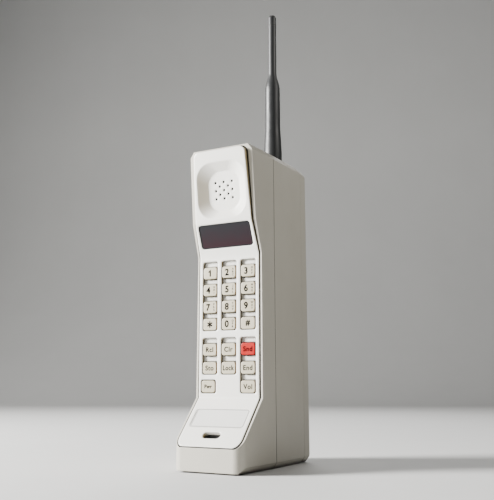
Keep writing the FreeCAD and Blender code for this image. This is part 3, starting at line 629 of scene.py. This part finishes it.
@dataclass
class FacePanel:
    """The bright inset panel with the ear dish, the lens and the nameplate."""

    palette: Palette
    nodes: dict[str, bpy.types.Object]
    edge_mm: float = 0.5
    lens_edge_mm: float = 0.25
    plate_edge_mm: float = 0.1
    hole_level: float = 168.1
    hole_reach: float = 8.6
    wall_lean: float = 0.3
    corner_mm: float = 1.8
    ink_mm: float = 0.05

    def dress(self) -> None:
        """Finishes the panel and what is set in it."""
        soften(self.nodes["face_panel"], self.edge_mm)
        paint(self.nodes["face_panel"], self.palette["panel_plastic"])
        self._paint_hole_shadow(self.nodes["face_panel"].data)
        soften(self.nodes["display_window"], self.lens_edge_mm, segments=2)
        paint(self.nodes["display_window"], self.palette["smoked_lens"])
        soften(self.nodes["nameplate"], self.plate_edge_mm, segments=2)
        paint(self.nodes["nameplate"], self.palette["plate_satin"])
        self._border("nameplate", inset_mm=0.1, width_mm=0.32, finish="border_ink", slot="plate")
        self._border("display_window", inset_mm=-0.15, width_mm=0.85, finish="frame_ink", slot="lens")
        LOG.info("face panel dressed")

    def _paint_hole_shadow(self, mesh: bpy.types.Mesh) -> None:
        """Gives the walls of the sound holes in the ear dish a near-black finish, a painted shadow inside the
        holes.

        Args:
            mesh: the panel's mesh.
        """
        # The painted shadow inside the sound holes goes in the panel's second slot.
        mesh.materials.append(self.palette["hole_shadow_paint"])
        for polygon in mesh.polygons:
            spot = polygon.center / MM
            inside = math.hypot(spot.x, spot.z - self.hole_level) < self.hole_reach
            if inside and abs(polygon.normal.y) < self.wall_lean:
                polygon.material_index = 1

    def _border(self, node: str, inset_mm: float, width_mm: float, finish: str, slot: str) -> None:
        """Prints a line round a flat tilted node.

        Args:
            node: the node's name.
            inset_mm: how far the line starts inside the node's edge.
            width_mm: the line's width.
            finish: the ink's finish.
            slot: not used.
        """
        facing, centre, wide, tall = front_plane(self.nodes[node].data)
        end = inset_mm + width_mm
        work = bmesh.new()
        rings = [[work.verts.new((across * MM, up * MM, lift * MM)) for across, up in
                  rounded_loop(wide - inset, tall - inset, self.corner_mm - inset)]
                 for inset, lift in ((inset_mm, 0.0), (inset_mm, self.ink_mm),
                                     (end, self.ink_mm), (end, 0.0))]
        for inner, outer in zip(rings, rings[1:]):
            for step, corner in enumerate(inner):
                following = (step + 1) % len(inner)
                work.faces.new((corner, inner[following], outer[following], outer[step]))
        mesh = bpy.data.meshes.new(f"{node}_border")
        work.to_mesh(mesh)
        work.free()
        lean = math.atan2(-facing.y, facing.z)
        mesh.transform(Matrix.Translation(centre) @ Matrix.Rotation(lean, 4, "X"))
        piece = as_object(f"{node}_border", mesh)
        paint(piece, self.palette[finish])
        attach(piece, "housing")


def front_plane(mesh: bpy.types.Mesh) -> tuple[Vector, Vector, float, float]:
    """Finds the plane of a flat plate's front.

    Args:
        mesh: the plate's mesh.

    Returns:
        The plane's normal, the middle of the plate on it, and half the plate's width and height
        in millimetres.
    """
    areas: dict[tuple, float] = defaultdict(float)
    for polygon in mesh.polygons:
        if polygon.normal.y < -FRONT_LEAN:
            areas[tuple(round(value, 3) for value in polygon.normal)] += polygon.area
    facing = Vector(max(areas, key=areas.get)).normalized()
    up = facing.cross(Vector((-1, 0, 0)))
    across = [vertex.co.x for vertex in mesh.vertices]
    along = [vertex.co.dot(up) for vertex in mesh.vertices]
    depth = max(vertex.co.dot(facing) for vertex in mesh.vertices)
    middle_x, middle_up = (max(across) + min(across)) / 2, (max(along) + min(along)) / 2
    centre = Vector((middle_x, 0, 0)) + up * middle_up + facing * depth
    return facing, centre, (max(across) - min(across)) / 2 / MM, (max(along) - min(along)) / 2 / MM


def rounded_loop(half_wide: float, half_tall: float, radius: float, steps: int = 6) -> list[Point]:
    """Corners of a rounded rectangle about the origin, anticlockwise.

    Args:
        half_wide: half its width.
        half_tall: half its height.
        radius: its corners' radius.
        steps: how many points each corner has, less one.

    Returns:
        The points.
    """
    loop = []
    for corner, (across, up) in enumerate(((1, 1), (-1, 1), (-1, -1), (1, -1))):
        for step in range(steps + 1):
            angle = math.pi / 2 * (corner + step / steps)
            loop.append((across * (half_wide - radius) + radius * math.cos(angle),
                         up * (half_tall - radius) + radius * math.sin(angle)))
    return loop


@dataclass(frozen=True)
class Legend:
    """What one key says: a main mark and up to three small letters beside it."""

    main: str
    letters: str = ""
    height_mm: float = 4.3


@dataclass
class Keypad:
    """The keys and the marks printed on them."""

    palette: Palette
    nodes: dict[str, bpy.types.Object]
    edge_mm: float = 0.2
    digit_shift_mm: float = 1.3
    digit_bold_mm: float = 0.21
    word_bold_mm: float = 0.13
    letter_mm: float = 1.3
    letter_bold_mm: float = 0.06
    letter_shift_mm: float = 2.9
    letter_pitch_mm: float = 1.75
    legends: dict[str, Legend] = field(default_factory=lambda: {
        "1": Legend("1"), "2": Legend("2", "ABC"), "3": Legend("3", "DEF"), "4": Legend("4", "GHI"),
        "5": Legend("5", "JKL"), "6": Legend("6", "MNO"), "7": Legend("7", "PRS"), "8": Legend("8", "TUV"),
        "9": Legend("9", "WXY"), "0": Legend("0", "OPR"), "star": Legend("*", height_mm=6.4),
        "hash": Legend("#", height_mm=3.8), "recall": Legend("Rcl", height_mm=WORD_MM),
        "clear": Legend("Clr", height_mm=WORD_MM), "send": Legend("Snd", height_mm=WORD_MM),
        "store": Legend("Sto", height_mm=WORD_MM), "lock": Legend("Lock", height_mm=WORD_MM),
        "end": Legend("End", height_mm=WORD_MM), "power": Legend("Pwr", height_mm=2.4),
        "volume": Legend("Vol", height_mm=WORD_MM)})

    def build(self) -> None:
        """Finishes each key and prints its mark."""
        for name, legend in self.legends.items():
            key = self.nodes[f"key_{name}"]
            paint(key, self.palette["key_red" if name == "send" else "key_cream"])
            soften(key, self.edge_mm, segments=2)
            self._print(name, legend)
        LOG.info("%d keys printed", len(self.legends))

    def _print(self, name: str, legend: Legend) -> None:
        """Prints one key's legend as thin raised ink.

        Args:
            name: the key's name.
            legend: what it says.
        """
        low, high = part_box(f"key_{name}")
        centre = (low + high) / 2
        across = centre.x - (self.digit_shift_mm * MM if legend.letters else 0.0)
        bold = self.digit_bold_mm if len(legend.main) == 1 else self.word_bold_mm
        parts = [self._word(legend.main, legend.height_mm, across, centre.z, low.y, bold)]
        for row, letter in enumerate(legend.letters):
            level = centre.z + (1 - row) * self.letter_pitch_mm * MM
            parts.append(self._word(letter, self.letter_mm, centre.x + self.letter_shift_mm * MM, level,
                                    low.y, self.letter_bold_mm))
        piece = join_pieces(f"legend_{name}", parts)
        paint(piece, self.palette["legend_ink"])
        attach(piece, f"key_{name}")
        "key_red" if name == "send" else "key_cream"

    @staticmethod
    def _word(text: str, height_mm: float, across: float, level: float, front: float,
              bold: float) -> bpy.types.Object:
        """A word as a thin mesh standing on the key's face, thickened by shifted copies of itself.

        The copies lie on two rings about the first, so that a thick stroke stays filled.

        Args:
            text: the characters.
            height_mm: how tall the capitals are.
            across: x of the word's middle, in metres.
            level: z of the word's middle.
            front: y of the key's face.
            bold: how much the strokes are thickened, in millimetres.

        Returns:
            The mesh object.
        """
        curve = bpy.data.curves.new(f"word_{text}", "FONT")
        curve.body = text
        curve.align_x = "CENTER"
        curve.align_y = "CENTER"
        curve.size = (height_mm - bold * 2) / CAPITAL_SHARE * MM
        curve.extrude = INK_MM * MM
        curve.space_character = 1.0 + bold * STROKE_SPACING
        drawn = as_object(f"word_{text}", curve)
        bpy.context.view_layer.update()
        mesh = bpy.data.meshes.new_from_object(drawn)
        bpy.data.objects.remove(drawn)
        xs = [vertex.co.x for vertex in mesh.vertices]
        ys = [vertex.co.y for vertex in mesh.vertices]
        middle = Vector(((min(xs) + max(xs)) / 2, (min(ys) + max(ys)) / 2, 0))
        squeeze = min(1.0, WORD_LIMIT_MM * MM / (max(xs) - min(xs)))
        if text == "1":
            add_flag(mesh, min(xs), max(xs), max(ys))
        heavy = bmesh.new()
        for number in range(STROKE_COPIES * 2 + 1):
            angle = math.tau * number / STROKE_COPIES
            reach = math.ceil(number / STROKE_COPIES) / 2 * bold * MM
            copy = mesh.copy()
            spread = Vector((math.cos(angle), math.sin(angle), 0)) * reach
            copy.transform(Matrix.Translation((across, front, level)) @ Matrix.Rotation(math.pi / 2, 4, "X")
                           @ Matrix.Translation(spread) @ Matrix.Diagonal((squeeze, 1, 1, 1))
                           @ Matrix.Translation(-middle))
            heavy.from_mesh(copy)
            bpy.data.meshes.remove(copy)
        heavy.to_mesh(mesh)
        heavy.free()
        return as_object(f"word_mesh_{text}", mesh)


def add_flag(mesh: bpy.types.Mesh, left: float, right: float, top: float) -> None:
    """Adds the short slanting flag of a figure one.

    Args:
        mesh: the figure's mesh.
        left: x of the stem's left side.
        right: x of its right side.
        top: y of its top.
    """
    work = bmesh.new()
    work.from_mesh(mesh)
    tip = left - FLAG_REACH_MM * MM
    ends = ((right, top), (tip, top - FLAG_DROP_MM * MM), (tip, top - (FLAG_DROP_MM + FLAG_TIP_MM) * MM),
            (right, top - FLAG_ROOT_MM * MM))
    layers = [[work.verts.new((across, up, lift * INK_MM * MM)) for across, up in ends] for lift in (-1, 1)]
    work.faces.new(reversed(layers[0]))
    work.faces.new(layers[1])
    for step in range(len(ends)):
        following = (step + 1) % len(ends)
        work.faces.new((layers[0][step], layers[0][following], layers[1][following], layers[1][step]))
    bmesh.ops.recalc_face_normals(work, faces=work.faces)
    work.to_mesh(mesh)
    work.free()


def join_pieces(name: str, parts: Sequence[bpy.types.Object]) -> bpy.types.Object:
    """Joins mesh objects that sit at the origin into one.

    Args:
        name: the new piece's name.
        parts: the objects, which are removed.

    Returns:
        The joined piece.
    """
    work = bmesh.new()
    for part in parts:
        work.from_mesh(part.data)
    mesh = bpy.data.meshes.new(name)
    work.to_mesh(mesh)
    work.free()
    for part in parts:
        bpy.data.objects.remove(part)
    return as_object(name, mesh)


@dataclass
class Antenna:
    """The moulded whip and the metal at its foot."""

    palette: Palette
    nodes: dict[str, bpy.types.Object]
    whip_edge_mm: float = 0.3
    socket_edge_mm: float = 0.15

    def dress(self) -> None:
        """Finishes the whip, its stud and its socket."""
        paint(self.nodes["antenna_whip"], self.palette["whip_rubber"])
        soften(self.nodes["antenna_whip"], self.whip_edge_mm, segments=2)
        paint(self.nodes["antenna_stud"], self.palette["contact_brass"])
        paint(self.nodes["antenna_socket"], self.palette["bright_steel"])
        soften(self.nodes["antenna_socket"], self.socket_edge_mm, segments=2)
        LOG.info("antenna dressed")


@dataclass
class Inside:
    """What the shells hide: boards, casting, sounders, cells and contacts."""

    palette: Palette
    nodes: dict[str, bpy.types.Object]
    edge_mm: float = 0.12
    finishes: dict[str, str] = field(default_factory=lambda: {
        "dome_sheet": "grey_rubber", "keypad_board": "circuit_board", "led_display": "numeral_case",
        "earpiece_felt": "felt_black", "earpiece_speaker": "dark_steel", "microphone_boot": "grey_rubber",
        "microphone": "bright_steel", "chassis_frame": "casting_metal", "logic_board": "circuit_board",
        "radio_board": "circuit_board", "logic_chips": "chip_black", "shield_cans": "bright_steel",
        "duplexer": "bright_steel", "power_amplifier": "casting_metal", "board_spacers": "contact_brass",
        "ringer": "chip_black", "accessory_connector": "chip_black", "connector_contacts": "contact_brass",
        "housing_screws": "dark_steel", "antenna_lead": "whip_rubber", "battery_lid": "chip_black",
        "battery_cells": "cell_sleeve", "cell_straps": "bright_steel", "battery_contacts": "contact_brass",
        "contact_plungers": "contact_brass"})

    def dress(self) -> None:
        """Gives every inner node its finish."""
        for name, finish in self.finishes.items():
            paint(self.nodes[name], self.palette[finish])
            soften(self.nodes[name], self.edge_mm, segments=1)
        LOG.info("%d inner pieces dressed", len(self.finishes))


# ---------------------------------------------------------------- studio

@dataclass
class Studio:
    """The floor, the lights and the camera."""

    palette: Palette
    place: tuple[float, float, float] = (0.2370, -0.4202, 0.0503)
    turn_deg: float = 29.3
    rise_deg: float = 9.9
    lens_mm: float = 54.94
    floor_reach: float = 30.0
    sweep_start: float = 1.3
    sweep_radius: float = 0.9
    sweep_steps: int = 16
    wall_height: float = 6.0

    def build(self) -> None:
        """Sets up everything that isn't the phone."""
        self._floor()
        self._world()
        self._light("key", (-0.98, -0.66, 0.52), (0.36, 0.36), 84.0, (1.0, 0.99, 0.97))
        self._light("side", (0.28, 0.04, 0.40), (0.14, 0.14), 0.5, (1.0, 0.97, 0.92))
        self._light("rim", (-0.3, 0.7, 0.7), (0.4, 0.4), 5.0, (1.0, 1.0, 1.0))
        self._camera()
        LOG.info("studio set")

    def _floor(self) -> None:
        """A large plain pale floor that sweeps up into a backdrop far behind the phone."""
        start, radius, steps = self.sweep_start, self.sweep_radius, self.sweep_steps
        profile = [(-self.floor_reach, 0.0), (start, 0.0)]
        profile += [(start + radius * math.sin(angle), radius - radius * math.cos(angle))
                    for angle in (math.pi / 2 * step / steps for step in range(1, steps + 1))]
        profile.append((start + radius, self.wall_height))
        turn = Matrix.Rotation(math.radians(self.turn_deg), 4, "Z")
        work = bmesh.new()
        rows = [[work.verts.new(turn @ Vector((across, back, up)))
                 for across in (-self.floor_reach, self.floor_reach)] for back, up in profile]
        for near, far in zip(rows, rows[1:]):
            work.faces.new((near[0], near[1], far[1], far[0])).smooth = True
        mesh = bpy.data.meshes.new("floor")
        work.to_mesh(mesh)
        work.free()
        floor = as_object("floor", mesh)
        paint(floor, self.palette["floor_paper"])

    @staticmethod
    def _world() -> None:
        """Soft pale surroundings."""
        world = bpy.data.worlds.new("studio")
        world.use_nodes = True
        world.node_tree.nodes["Background"].inputs["Color"].default_value = (0.8, 0.81, 0.82, 1)
        world.node_tree.nodes["Background"].inputs["Strength"].default_value = 0.12
        bpy.context.scene.world = world

    @staticmethod
    def _light(name: str, place: tuple[float, float, float], size: Point, power: float, tint: Colour) -> None:
        """One soft area light that looks at the phone.

        Args:
            name: the light's name.
            place: where it stands.
            size: its width and height.
            power: in watts.
            tint: its colour.
        """
        lamp = bpy.data.lights.new(name, "AREA")
        lamp.shape = "RECTANGLE"
        lamp.size, lamp.size_y = size
        lamp.energy = power
        lamp.color = tint
        stand = bpy.data.objects.new(name, lamp)
        stand.location = place
        aim = Vector(LIT_POINT) - Vector(place)
        stand.rotation_euler = aim.to_track_quat("-Z", "Y").to_euler()
        bpy.context.scene.collection.objects.link(stand)

    def _camera(self) -> None:
        """The camera, a little below the phone's middle and to its right."""
        lens = bpy.data.cameras.new("camera")
        lens.lens = self.lens_mm
        lens.sensor_width = 36.0
        lens.clip_start = 0.01
        eye = bpy.data.objects.new("camera", lens)
        eye.location = self.place
        eye.rotation_euler = (math.radians(90 + self.rise_deg), 0, math.radians(self.turn_deg))
        bpy.context.scene.collection.objects.link(eye)
        bpy.context.scene.camera = eye


def write_sizes() -> None:
    """Updates the view layer.
    """
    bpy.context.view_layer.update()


def main() -> None:
    """Builds the phone's sub-assemblies in order."""
    logging.basicConfig(level=logging.INFO, format="%(name)s: %(message)s")
    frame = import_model()
    nodes = frame["nodes"]
    palette = Palette()
    Studio(palette).build()
    Shells(palette, nodes).dress()
    FacePanel(palette, nodes).dress()
    Keypad(palette, nodes).build()
    Antenna(palette, nodes).dress()
    Inside(palette, nodes).dress()
    write_sizes()


if __name__ == "__main__":
    main()
